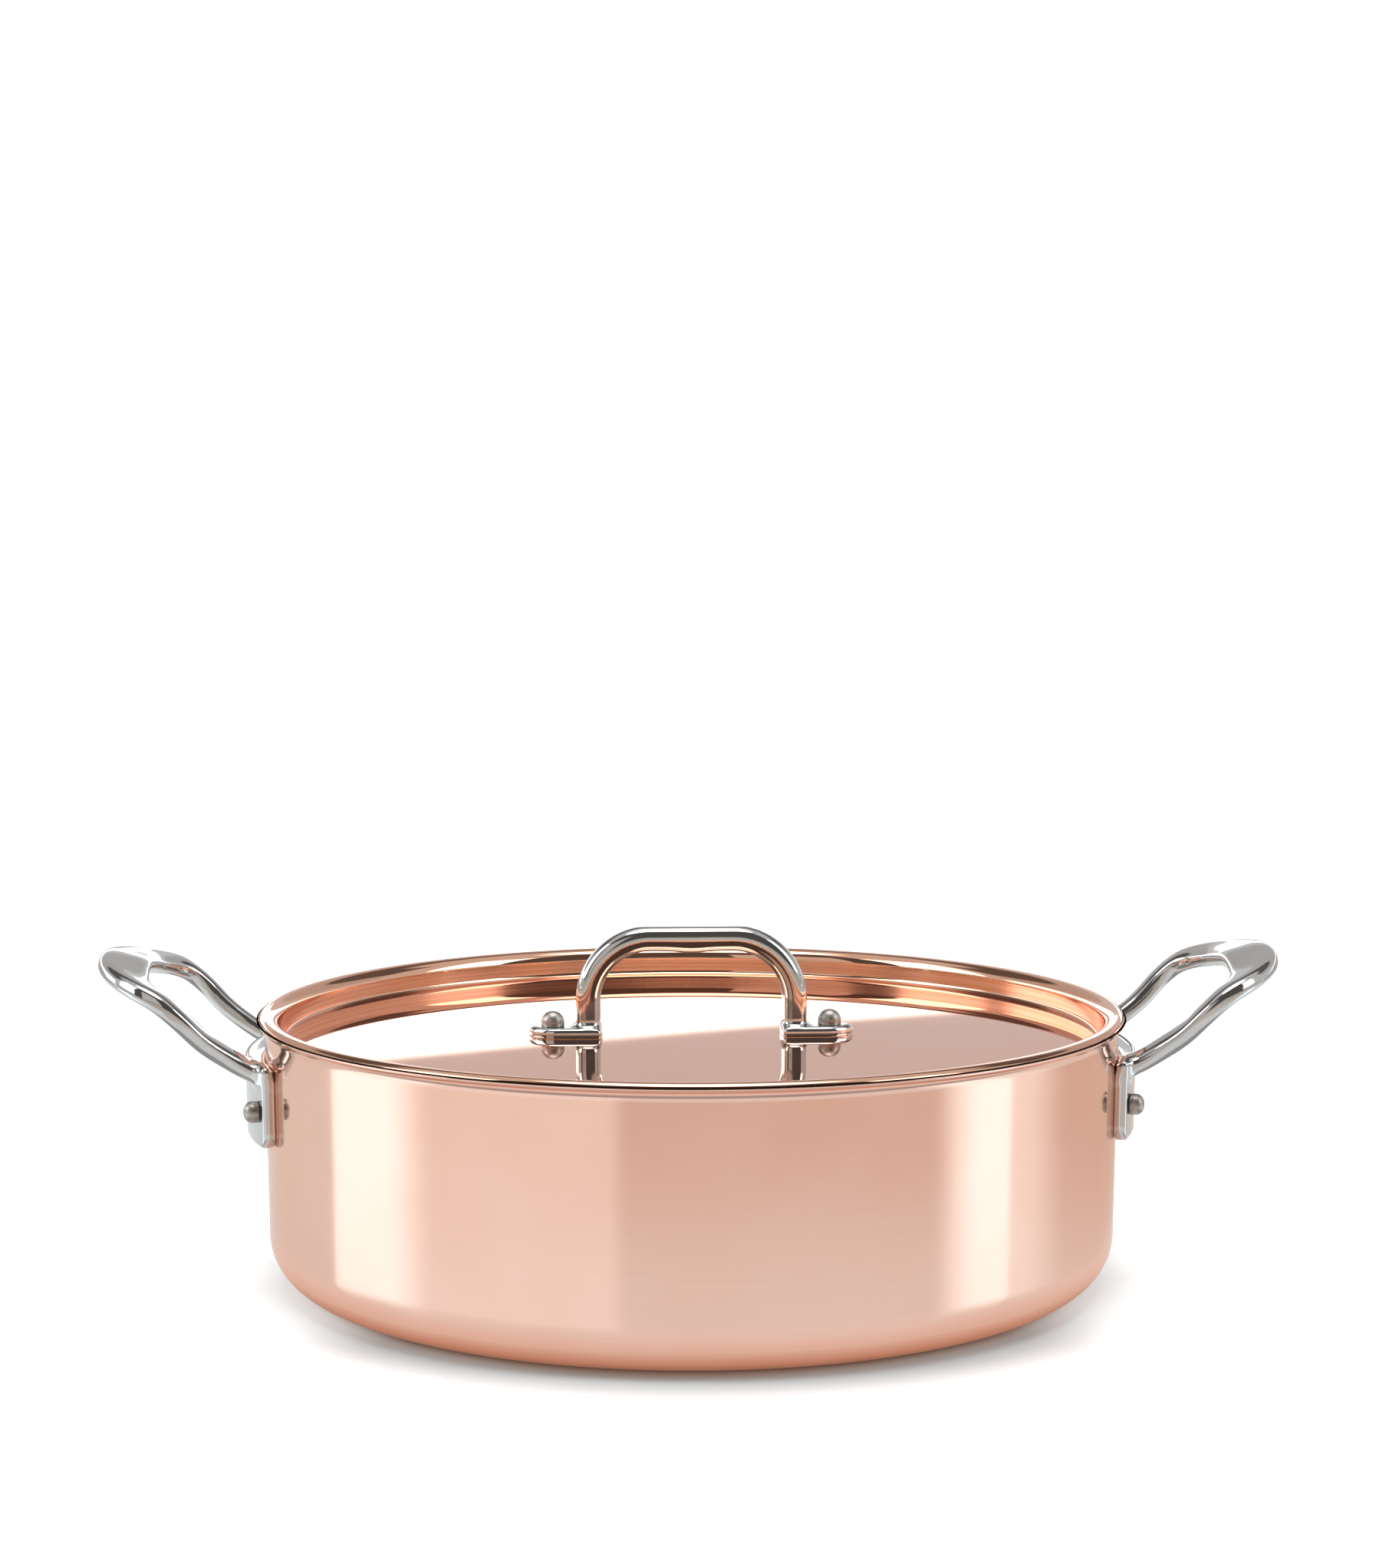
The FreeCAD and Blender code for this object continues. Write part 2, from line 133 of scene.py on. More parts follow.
def metal(name, colour, tint, rough, spread, lines, line_depth, aniso=0.0, wave=0.0, wave_scale=40.0, turned=True,
          edge=(1.0, 1.0, 1.0), dull_band_and_painted_shade=None):
    """Polished or brushed metal. Turned work has its marks running round Z."""
    m = bpy.data.materials.new(name)
    m.use_nodes = True
    k = Nodes(m.node_tree)
    out = k.new("ShaderNodeOutputMaterial")
    bsdf = k.new("ShaderNodeBsdfPrincipled")
    k.t.links.new(bsdf.outputs[0], out.inputs[0])
    bsdf.inputs["Metallic"].default_value = 1.0
    bsdf.inputs["Specular Tint"].default_value = (*edge, 1.0)
    tc = k.new("ShaderNodeTexCoord")
    sep = k.new("ShaderNodeSeparateXYZ")
    k.put(sep.inputs[0], tc.outputs["Object"])
    x, y, z = sep.outputs
    if turned:
        ang = k.math("ARCTAN2", y, x)
        rad = k.math("SQRT", k.math("ADD", k.math("MULTIPLY", x, x), k.math("MULTIPLY", y, y)))
        along = k.math("MULTIPLY", ang, 3.0)
        vec = k.combine(along, k.math("MULTIPLY", rad, lines), k.math("MULTIPLY", z, lines))
    else:
        vec = k.combine(k.math("MULTIPLY", x, lines), k.math("MULTIPLY", y, lines), k.math("MULTIPLY", z, lines))
    fine = k.noise(vec, 1.0, 3.0, 0.6)
    broad = k.noise(tc.outputs["Object"], wave_scale, 2.0, 0.5)
    # colour: slow variation of tone plus a trace of the polishing lines
    tone = k.remap(broad, 0.3, 0.7)
    base = k.mix(tone, colour, tint)
    trace = k.mix(k.remap(fine, 0.35, 0.65, 0.0, 0.10), base, tuple(0.82 * c for c in colour))
    r = k.math("ADD", k.math("MULTIPLY", fine, spread), rough - 0.5 * spread)
    if dull_band_and_painted_shade:
        # upright band of the lid's sunk wall: a duller, rougher finish, plus painted shade as rings of darker tone in
        # the colour
        low, high, more = dull_band_and_painted_shade
        on = k.math("MULTIPLY", k.remap(z, low, low + 0.0012), k.remap(z, high, high - 0.0012))
        rings = k.noise(k.combine(k.math("MULTIPLY", ang, 1.2), 0.0, k.math("MULTIPLY", z, 1400.0)), 1.0, 2.0, 0.5)
        dark = k.math("MULTIPLY", on, k.remap(rings, 0.42, 0.60, 0.0, 0.55))
        # painted shade: the colour is pulled towards dark copper in rings on the sunk wall
        trace = k.mix(dark, trace, (0.74, 0.36, 0.20))
        r = k.math("ADD", r, k.math("MULTIPLY", on, more))
    k.put(bsdf.inputs["Base Color"], trace)
    r = k.math("ADD", r, k.math("MULTIPLY", k.math("SUBTRACT", broad, 0.5), spread), clamp=True)
    k.put(bsdf.inputs["Roughness"], r)
    if aniso:
        bsdf.inputs["Anisotropic"].default_value = aniso
        tan = k.new("ShaderNodeTangent", direction_type="RADIAL", axis="Z")
        k.put(bsdf.inputs["Tangent"], tan.outputs[0])
    b1 = k.new("ShaderNodeBump")
    b1.inputs["Strength"].default_value = 1.0
    b1.inputs["Distance"].default_value = line_depth
    k.put(b1.inputs["Height"], fine)
    if wave:
        b2 = k.new("ShaderNodeBump")
        b2.inputs["Strength"].default_value = 1.0
        b2.inputs["Distance"].default_value = wave
        k.put(b2.inputs["Height"], broad)
        k.put(b1.inputs["Normal"], b2.outputs[0])
    k.put(bsdf.inputs["Normal"], b1.outputs[0])
    return m


COPPER = (0.92, 0.60, 0.49)
COPPER2 = (0.93, 0.62, 0.515)
mat_wall = metal("copper_wall", COPPER, COPPER2, 0.085, 0.035, 2600.0, 8e-8, aniso=0.6, edge=(0.97, 0.84, 0.78))
# lid copper: the same metal as the pan, given a darker, redder base colour as painted shade; its band adds painted
# shade on the sunk wall
mat_lid_shaded = metal("copper_lid_shaded", (0.91, 0.525, 0.365), (0.915, 0.535, 0.38), 0.016, 0.010, 2200.0, 6e-9, edge=(0.985, 0.90, 0.885),
                dull_band_and_painted_shade=((Z_PLATE + 0.8) * 0.001, (Z_FLANGE - 3.4) * 0.001, 0.16))
mat_core = metal("aluminium_core", (0.80, 0.80, 0.81), (0.74, 0.74, 0.75), 0.32, 0.15, 3000.0, 6e-7)
mat_lining = metal("steel_lining", (0.60, 0.595, 0.58), (0.54, 0.535, 0.52), 0.30, 0.12, 2200.0, 1.2e-6, aniso=0.7)
mat_cast = metal("cast_steel", (0.66, 0.66, 0.655), (0.60, 0.60, 0.595), 0.07, 0.04, 900.0, 3e-8,
                 wave=0.00002, wave_scale=55.0, turned=False)
mat_rivet = metal("rivet_steel", (0.50, 0.475, 0.445), (0.38, 0.36, 0.34), 0.40, 0.2, 1800.0, 4e-6, wave_scale=400.0)


# ================================================================== meshes
def make_object(name, verts, faces, mat, body, nodes, sharp=None, matrix=None):
    me = bpy.data.meshes.new(name)
    me.from_pydata([tuple(v) for v in verts], [], [tuple(int(i) for i in f) for f in faces])
    me.update()
    me.polygons.foreach_set("use_smooth", [True] * len(me.polygons))
    if sharp is not None:
        flags = np.zeros(len(me.edges), bool)
        ev = np.empty(len(me.edges) * 2, int)
        me.edges.foreach_get("vertices", ev)
        ev = ev.reshape(-1, 2)
        flags[:] = sharp[ev[:, 0]] & sharp[ev[:, 1]]
        me.edges.foreach_set("use_edge_sharp", flags)
    me.materials.append(mat)
    ob = bpy.data.objects.new(name, me)
    bpy.context.scene.collection.objects.link(ob)
    if matrix is not None:
        ob.matrix_world = matrix
    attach(ob, body)
    if nodes:
        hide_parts(*nodes)
    return ob


def arc_pts(cr, cz, rad, a0, a1, step=4.0):
    n = max(3, int(abs(a1 - a0) / step) + 1)
    return [(cr + rad * math.cos(math.radians(a0 + (a1 - a0) * i / n)),
             cz + rad * math.sin(math.radians(a0 + (a1 - a0) * i / n))) for i in range(n + 1)]


def straight(p, q, inset=0.25, extra=0):
    """Points of a straight run with support points close to both ends."""
    p, q = np.array(p, float), np.array(q, float)
    ln = np.linalg.norm(q - p)
    if ln < 3 * inset:
        return [tuple(p), tuple(q)]
    d = (q - p) / ln
    out = [tuple(p), tuple(p + d * inset)]
    for i in range(1, extra + 1):
        out.append(tuple(p + (q - p) * i / (extra + 1)))
    return out + [tuple(q - d * inset), tuple(q)]


def tidy(points):
    out = []
    for p in points:
        if not out or math.hypot(p[0] - out[-1][0], p[1] - out[-1][1]) > 1e-4:
            out.append(p)
    return out


def lathe(outline, segs=384, sharp_points=()):
    """Turns a closed outline of (r, z) in mm. Points on the axis become one vertex."""
    pts = tidy(outline)
    if math.hypot(pts[0][0] - pts[-1][0], pts[0][1] - pts[-1][1]) < 1e-4:
        pts = pts[:-1]
    ang = 2 * math.pi * np.arange(segs) / segs
    ca, sa = np.cos(ang), np.sin(ang)
    verts, rings, sharp = [], [], []
    for r, z in pts:
        if r < 1e-6:
            rings.append([len(verts)])
            verts.append((0.0, 0.0, z * MM))
            sharp.append(False)
        else:
            start = len(verts)
            rings.append(list(range(start, start + segs)))
            for c, s in zip(ca, sa):
                verts.append((r * MM * c, r * MM * s, z * MM))
            is_sharp = any(math.hypot(r - a, z - b) < 1e-3 for a, b in sharp_points)
            sharp += [is_sharp] * segs
    faces = []
    n = len(rings)
    for i in range(n):
        a, b = rings[i], rings[(i + 1) % n]
        if len(a) == 1 and len(b) == 1:
            continue
        for j in range(segs):
            k = (j + 1) % segs
            if len(a) == 1:
                faces.append((a[0], b[k], b[j]))
            elif len(b) == 1:
                faces.append((a[j], a[k], b[0]))
            else:
                faces.append((a[j], a[k], b[k], b[j]))
    return verts, faces, np.array(sharp)


# ------------------------------------------------ pan body
PHI_LIP = math.degrees(math.acos((R_BODY + R_FLARE - R_LIP) / R_FLARE))
Z_FLARE = Z_LIP - R_FLARE * math.sin(math.radians(PHI_LIP))


def wall_points(off):
    pts = straight((0, off), (R_BODY - R_CORNER, off), 0.6, 10)
    pts += arc_pts(R_BODY - R_CORNER, R_CORNER, R_CORNER - off, -90, 0, 3.0)
    pts += straight((R_BODY - off, R_CORNER), (R_BODY - off, Z_FLARE), 0.5, 8)
    rad = R_FLARE + off
    if off == 0:
        pts += arc_pts(R_BODY + R_FLARE, Z_FLARE, rad, 180, 180 - PHI_LIP, 6.0)
        b = 0.12
        pts += [(R_LIP, H_RIM - 2 * b), (R_LIP - 0.3 * b, H_RIM - b), (R_LIP - b, H_RIM - 0.3 * b),
                (R_LIP - 2 * b, H_RIM)]
    else:
        phi = math.degrees(math.asin((H_RIM - Z_FLARE) / rad))
        pts += arc_pts(R_BODY + R_FLARE, Z_FLARE, rad, 180, 180 - phi, 6.0)
    return pts


def wall_layer(o1, o2):
    a, b = wall_points(o1), wall_points(o2)
    return a + b[::-1], [a[-1], b[-1]]


def put_lathe(name, outline, sharp_pts, mat, body, nodes, segs=384):
    v, f, s = lathe(outline, segs, sharp_pts)
    return make_object(name, v, f, mat, body, nodes, s)


o, sp = wall_layer(0.0, T_CU)
put_lathe("pan_copper_body", o, sp, mat_wall, "pan", ["pan_copper_shell"])
o, sp = wall_layer(T_CU, T_CU + T_AL)
put_lathe("pan_core_sheet", o, sp, mat_core, "pan", ["pan_aluminium_core"])
o, sp = wall_layer(T_CU + T_AL, T_CU + T_AL + T_ST)
put_lathe("pan_steel_inside", o, sp, mat_lining, "pan", ["pan_steel_lining"])


# ------------------------------------------------ lid
FLANGE_RISE = 0.07      # the flange dishes up very slightly towards its edge


DRAFT = math.radians(2.0)   # the sunk wall opens upwards a little


def lid_points(off):
    cs, sn, tn = math.cos(DRAFT), math.sin(DRAFT), math.tan(DRAFT)
    cx, cz = R_LIDWALL + R_SHOULDER, Z_FLANGE - FLANGE_RISE - R_SHOULDER
    s = (cx - (R_SHOULDER - off) * cs, cz + (R_SHOULDER - off) * sn)
    z2 = Z_PLATE + R_SINK
    full = (cx - R_SHOULDER * cs, cz + R_SHOULDER * sn)
    c2 = full[0] - (full[1] - (z2 - R_SINK * sn)) * tn - R_SINK * cs
    p = (c2 + (R_SINK + off) * cs, z2 - (R_SINK + off) * sn)
    pts = straight((0, Z_PLATE - off), (c2, Z_PLATE - off), 0.5, 10)
    pts += arc_pts(c2, z2, R_SINK + off, -90, -math.degrees(DRAFT), 4.0)
    pts += straight(p, s, 0.4, 2)
    pts += arc_pts(cx, cz, R_SHOULDER - off, 180 - math.degrees(DRAFT), 90, 4.5)
    return pts


def lid_rim(off):
    rad = R_ROLL - off
    low = Z_FLANGE - T_LID
    ang = math.degrees(math.asin((low - (Z_FLANGE - R_ROLL)) / rad))
    pts = straight((R_LIDWALL + R_SHOULDER, Z_FLANGE - FLANGE_RISE - off), (R_ROLL_C - 0.1, Z_FLANGE - off), 0.2, 1)
    return pts + arc_pts(R_ROLL_C, Z_FLANGE - R_ROLL, rad, 87, ang, 5.0)


top = lid_points(0.0) + lid_rim(0.0)
mid = lid_points(T_SKIN) + lid_rim(T_SKIN)
put_lathe("lid_copper_sheet", top + mid[::-1], [top[-1], mid[-1]], mat_lid_shaded, "lid", ["lid_copper_skin"])
low = lid_points(T_LID)
put_lathe("lid_steel_inside", mid + low[::-1], [mid[-1], low[-1]], mat_lining, "lid", ["lid_steel_lining"])


# ------------------------------------------------ rivets
def rivet_outline(r_shank, r_head, h_cyl, h_all, seat, r_tail, h_tail, tail_seat):
    dome = h_all - h_cyl
    pts = [(0.0, seat + h_all)]
    for i in range(1, 15):
        th = math.pi / 2 * (1 - i / 14)
        pts.append((r_head * max(math.cos(th), 0.0) ** 0.92, seat + h_cyl + dome * math.sin(th)))
    pts += [(r_head, seat + 0.25), (r_head - 0.12, seat + 0.02), (r_shank, seat), (r_shank, tail_seat)]
    pts += [(r_tail - 0.1, tail_seat), (r_tail, tail_seat - 0.1)]
    for i in range(1, 13):
        th = math.pi / 2 * i / 12
        pts.append((r_tail * math.cos(th), tail_seat - h_tail * math.sin(th)))
    return pts[::-1]


TAIL_SEAT = math.sqrt((R_BODY - T_CU - T_AL - T_ST) ** 2 - R_INHEAD ** 2) - 0.01


def put_rivet(name, outline, place, body):
    zs = [p[1] for p in outline]
    z0 = 0.5 * (min(zs) + max(zs))
    v, f, s = lathe([(r, z - z0) for r, z in outline], 72, [])
    m = place @ Matrix.Translation((0, 0, z0 * MM))
    return make_object(name + "_head", v, f, mat_rivet, body, [name], None, m)


for side in ("right", "left"):
    for where, sign in (("front", -1.0), ("rear", 1.0)):
        beta = sign * BETA_RIVET if side == "right" else 180.0 - sign * BETA_RIVET
        b = math.radians(beta)
        turn = Matrix.Rotation(b, 4, "Z") @ Matrix.Rotation(math.pi / 2, 4, "Y")
        place = Matrix.Translation((0, 0, Z_RIVET * MM)) @ turn
        put_rivet(side + "_handle_" + where + "_rivet",
                  rivet_outline(2.5, R_HEAD, HEAD_CYL, HEAD_H, Z_SPOT, R_INHEAD, INHEAD_H, TAIL_SEAT), place, "pan")
for side, sign in (("left", -1), ("right", 1)):
    place = Matrix.Translation((sign * X_LIDRIVET * MM, 0, 0))
    put_rivet("lid_handle_" + side + "_rivet",
              rivet_outline(2.4, R_LIDHEAD, LIDHEAD_CYL, LIDHEAD_H, Z_PLATE + FOOT_T, R_LIDTAIL, LIDTAIL_H, Z_PLATE - T_LID),
              place, "lid")


# ================================================================== cast pieces
# Each cast handle is the zero surface of a smooth field, so its blends are true fillets.
def smin(a, b, k):
    h = np.maximum(k - np.abs(a - b), 0.0) / k
    return np.minimum(a, b) - h * h * k * 0.25


def smax(a, b, k):
    return -smin(-a, -b, k)


def super_dist(u, v, a, b, n):
    g = ((np.abs(u) / a) ** n + (np.abs(v) / b) ** n + 1e-12) ** (1.0 / n)
    r = np.sqrt(u * u + v * v)
    return r * (1.0 - 1.0 / g)


def surface_nets(field, lo, hi, h, coarse=4):
    """Quad mesh of field = 0 inside a box, its vertices moved on to the surface."""
    n = [int(math.ceil((hi[i] - lo[i]) / (h * coarse))) for i in range(3)]
    ax = [lo[i] + h * coarse * np.arange(n[i] + 1) for i in range(3)]
    g = np.stack(np.meshgrid(*ax, indexing="ij"), -1).reshape(-1, 3)
    fc = field(g).reshape([k + 1 for k in n])
    near = np.abs(fc) < h * coarse * 1.9
    m = [k * coarse + 1 for k in n]
    idx = [np.minimum(np.round(np.arange(m[i]) / coarse).astype(int), n[i]) for i in range(3)]
    F = fc[np.ix_(*idx)].copy()
    mask = near[np.ix_(*idx)]
    fx = [lo[i] + h * np.arange(m[i]) for i in range(3)]
    ii = np.argwhere(mask)
    P = np.stack([fx[0][ii[:, 0]], fx[1][ii[:, 1]], fx[2][ii[:, 2]]], -1)
    F[mask] = field(P)
    S = F < 0
    c = [S[dx:m[0] - 1 + dx, dy:m[1] - 1 + dy, dz:m[2] - 1 + dz] for dx in (0, 1) for dy in (0, 1) for dz in (0, 1)]
    cnt = sum(x.astype(np.int8) for x in c)
    active = (cnt > 0) & (cnt < 8)
    vid = -np.ones(active.shape, int)
    cells = np.argwhere(active)
    vid[active] = np.arange(len(cells))
    corner = {(dx, dy, dz): F[cells[:, 0] + dx, cells[:, 1] + dy, cells[:, 2] + dz]
              for dx in (0, 1) for dy in (0, 1) for dz in (0, 1)}
    acc = np.zeros((len(cells), 3))
    num = np.zeros(len(cells))
    for axis in range(3):
        for p in (0, 1):
            for q in (0, 1):
                a = [0, 0, 0]
                others = [k for k in range(3) if k != axis]
                a[others[0]], a[others[1]] = p, q
                b = list(a)
                b[axis] = 1
                fa, fb = corner[tuple(a)], corner[tuple(b)]
                cross = (fa < 0) != (fb < 0)
                t = np.where(cross, fa / np.where(fa == fb, 1.0, fa - fb), 0.0)
                pos = np.tile(np.array(a, float), (len(cells), 1))
                pos[:, axis] = t
                acc[cross] += pos[cross]
                num[cross] += 1
    V = (cells + acc / num[:, None]) * h + np.array(lo)
    quads = []
    for axis in range(3):
        s0 = [slice(None)] * 3
        s1 = [slice(None)] * 3
        s0[axis], s1[axis] = slice(0, -1), slice(1, None)
        A, B = S[tuple(s0)], S[tuple(s1)]
        e = np.argwhere(A != B)
        o1, o2 = [(axis + 1) % 3, (axis + 2) % 3]
        ok = (e[:, o1] > 0) & (e[:, o2] > 0) & (e[:, o1] < m[o1] - 1) & (e[:, o2] < m[o2] - 1)
        e = e[ok]
        inside = A[tuple(e.T)]

        def cell(d1, d2):
            x = e.copy()
            x[:, o1] -= d1
            x[:, o2] -= d2
            return vid[tuple(x.T)]

        q = np.stack([cell(1, 1), cell(0, 1), cell(0, 0), cell(1, 0)], -1)
        q[~inside] = q[~inside][:, ::-1]
        quads.append(q)
    Q = np.concatenate(quads)
    Q = Q[(Q >= 0).all(1)]
    ea = np.concatenate([Q[:, 0], Q[:, 1], Q[:, 2], Q[:, 3]])
    eb = np.concatenate([Q[:, 1], Q[:, 2], Q[:, 3], Q[:, 0]])

    def project(V, times):
        e = 0.01
        for _ in range(times):
            f = field(V)
            gr = np.stack([(field(V + np.eye(3)[i] * e) - field(V - np.eye(3)[i] * e)) / (2 * e) for i in range(3)], -1)
            g2 = np.maximum((gr * gr).sum(1), 0.05)
            step = (f / g2)[:, None] * gr
            ln = np.linalg.norm(step, axis=1, keepdims=True)
            V = V - step * np.minimum(1.0, 0.8 * h / np.maximum(ln, 1e-9))
        return V

    V = project(V, 2)
    for _ in range(3):
        s = np.zeros_like(V)
        c = np.zeros(len(V))
        np.add.at(s, ea, V[eb])
        np.add.at(s, eb, V[ea])
        np.add.at(c, ea, 1)
        np.add.at(c, eb, 1)
        V = 0.5 * V + 0.5 * s / c[:, None]
        V = project(V, 1)
    V = project(V, 2)
    return V, Q


# ------------------------------------------------ side handle field
def catmull(rows, t):
    i = int(max(0, min(len(rows) - 2, math.floor(t))))
    u = t - i
    p1, p2 = rows[i], rows[i + 1]
    p0 = rows[i - 1] if i > 0 else 2 * p1 - p2
    p3 = rows[i + 2] if i + 2 < len(rows) else 2 * p2 - p1
    return 0.5 * (2 * p1 + (p2 - p0) * u + (2 * p0 - 5 * p1 + 4 * p2 - p3) * u * u + (3 * p1 - p0 - 3 * p2 + p3) * u ** 3)


def loop_stations(per=18):
    half = [np.array(r, float) for r in LOOP]
    mirror = [r * np.array([1, -1, 1, 1, 1, 1]) for r in half[:-1]]
    rows = half + mirror[::-1]
    n = len(rows) - 1
    ts = np.linspace(0, n, n * per + 1)
    R = np.array([catmull(rows, t) for t in ts])
    # ease the small bumps that a spline through a few rows leaves
    for _ in range(26):
        R[1:-1] = 0.25 * R[:-2] + 0.5 * R[1:-1] + 0.25 * R[2:]
    D = np.gradient(R[:, :3], axis=0)
    D /= np.linalg.norm(D, axis=1, keepdims=True)
    s = np.radians(R[:, 5])
    T = np.stack([-np.sin(s), 0 * s, np.cos(s)], -1)
    T -= D * (T * D).sum(1, keepdims=True)
    T /= np.linalg.norm(T, axis=1, keepdims=True)
    W = np.cross(D, T)
    return R, D, T, W


ST_R, ST_D, ST_T, ST_W = loop_stations()
ST_STEP = np.linalg.norm(np.gradient(ST_R[:, :3], axis=0), axis=1)


def side_field(P):
    out = np.empty(len(P))
    for a in range(0, len(P), 20000):
        p = P[a:a + 20000]
        d2 = ((p[:, None, :] - ST_R[None, :, :3]) ** 2).sum(2)
        i = d2.argmin(1)
        # between stations: everything is interpolated along the path
        s = ((p - ST_R[i, :3]) * ST_D[i]).sum(1) / ST_STEP[i]
        s = np.clip(s, -1.0, 1.0)
        j = np.clip(i + np.sign(s).astype(int), 0, len(ST_R) - 1)
        w = np.abs(s)[:, None]
        C = (1 - w) * ST_R[i] + w * ST_R[j]
        T = (1 - w) * ST_T[i] + w * ST_T[j]
        W = (1 - w) * ST_W[i] + w * ST_W[j]
        q = p - C[:, :3]
        loop = super_dist((q * W).sum(1), (q * T).sum(1), C[:, 3], C[:, 4], N_SECTION)
        x, y, z = p.T
        rho = np.hypot(x, y)
        be = math.radians(BETA_PLATE)
        p1 = np.hypot(x - X_PLATE_F, y) - R_PLATE_F
        p3 = np.abs(y) * math.cos(be) - x * math.sin(be)

        def corner(u, v, r):
            return np.hypot(np.maximum(u + r, 0), np.maximum(v + r, 0)) + np.minimum(np.maximum(u + r, v + r), 0) - r

        face = np.maximum(corner(p3, Z_PL0 - z, 5.0), corner(p3, z - Z_PL1, 1.6))
        plate = corner(p1, face, 1.5)
        f = smin(loop, plate, 3.0)
        t = np.clip((z - 71.0) / 6.0, 0, 1)
        k = 1.9 + 1.7 * t * t * (3 - 2 * t)
        out[a:a + 20000] = smax(f, 139.75 - rho, k)
    return out


V, Q = surface_nets(side_field, (131.6, -46.0, 48.0), (196.0, 46.0, 111.0), 0.62)
turn = np.array([-1.0, -1.0, 1.0])
make_object("right_side_grip", V * MM, Q, mat_cast, "pan", ["right_side_handle"])
make_object("left_side_grip", V * turn * MM, Q, mat_cast, "pan", ["left_side_handle"])


# ------------------------------------------------ lid handle field
def bail_field(P):
    x, y, z = P.T
    ax = np.abs(x)
    zb, xb = Z_BAR - R_BEND, X_LEG - R_BEND
    n = np.where(z < zb, ax - X_LEG,
                 np.where(ax > xb, np.hypot(np.maximum(ax - xb, 0), np.maximum(z - zb, 0)) - R_BEND, z - Z_BAR))
    low_in = (z >= zb) & (ax <= xb) & (z < zb + 4)
    n = np.where(low_in, -R_BEND + 4, n)
    frac = np.clip((z - 82.0) / (Z_BAR - 82.0), 0, 1)
    half = HALF_LEG + (HALF_BAR - HALF_LEG) * frac ** 2
    half = half + np.where(n < 0, SWELL * np.exp(-(x / 6.0) ** 2) * (z > zb), 0.0)
    bar = super_dist(y, n, HALF_Y, half, 2.35)
    nx, ny = 3.5 / 6.185, 5.1 / 6.185
    taper = (ax - FOOT_CORNER) * nx + (np.abs(y) - FOOT_HALF) * ny
    plan = smax(np.abs(y) - FOOT_HALF, taper, 1.5)
    plan = smax(plan, ax - FOOT_TIP, 3.0)
    plan = smax(plan, FOOT_IN - ax, 1.6)
    foot = smax(plan, z - (Z_PLATE + FOOT_T), 1.8)
    f = smin(bar, foot, 2.2)
    f = smax(f, z - Z_BAIL_TOP, 0.35)
    return np.maximum(f, (Z_PLATE - 0.35) - z)


V, Q = surface_nets(bail_field, (-55.4, -8.4, 78.6), (55.4, 8.4, 117.0), 0.45)
make_object("lid_bail_handle", V * MM, Q, mat_cast, "lid", ["lid_handle"])


# ================================================================== floor
def ramp(k, x, stops):
    """Colour ramp over a value, stops are (position, colour)."""
    n = k.new("ShaderNodeValToRGB")
    k.put(n.inputs[0], x)
    e = n.color_ramp.elements
    while len(e) < len(stops):
        e.new(0.5)
    for i, (p, c) in enumerate(stops):
        e[i].position = p
        e[i].color = (*c, 1.0)
    return n.outputs["Color"]


def radius_of(k):
    tc = k.new("ShaderNodeTexCoord")
    n = k.new("ShaderNodeVectorMath", operation="LENGTH")
    k.put(n.inputs[0], tc.outputs["Object"])
    return tc, n.outputs["Value"]


def sideways(k, tc, r):
    """0 straight in front or behind, 1 at either side."""
    n = k.new("ShaderNodeSeparateXYZ")
    k.put(n.inputs[0], tc.outputs["Object"])
    return k.math("DIVIDE", k.math("ABSOLUTE", n.outputs["X"]), r)


def floor_with_painted_light():
    """White matt table with painted light and shade: it glows, a touch brighter away from the pan and at its sides, and
    is darker and bluish close round the base.
    """
    m = bpy.data.materials.new("pale_floor")
    m.use_nodes = True
    k = Nodes(m.node_tree)
    out = k.new("ShaderNodeOutputMaterial")
    d = k.new("ShaderNodeBsdfDiffuse")
    tc, r = radius_of(k)
    n = k.noise(tc.outputs["Object"], 30.0, 2.0)
    base = k.mix(n, (0.90, 0.90, 0.90), (0.905, 0.905, 0.905))
    # painted shade: colour darker and bluish within 0.13 to 0.16 m of the centre
    k.put(d.inputs["Color"], k.mix(k.remap(r, 0.130, 0.160), (0.64, 0.76, 0.80), base))
    e = k.new("ShaderNodeEmission")
    # painted light: emission beside the base at the sides, and rising away from the pan
    painted_side_glow = k.math("MULTIPLY", k.remap(sideways(k, tc, r), 0.70, 0.95), k.remap(r, 0.114, 0.134, 0.0, 0.36))
    k.put(e.inputs["Strength"], k.math("ADD", painted_side_glow, k.remap(r, 0.134, 0.172, 0.0, 0.42)))
    add = k.new("ShaderNodeAddShader")
    k.t.links.new(d.outputs[0], add.inputs[0])
    k.t.links.new(e.outputs[0], add.inputs[1])
    k.t.links.new(add.outputs[0], out.inputs[0])
    return m


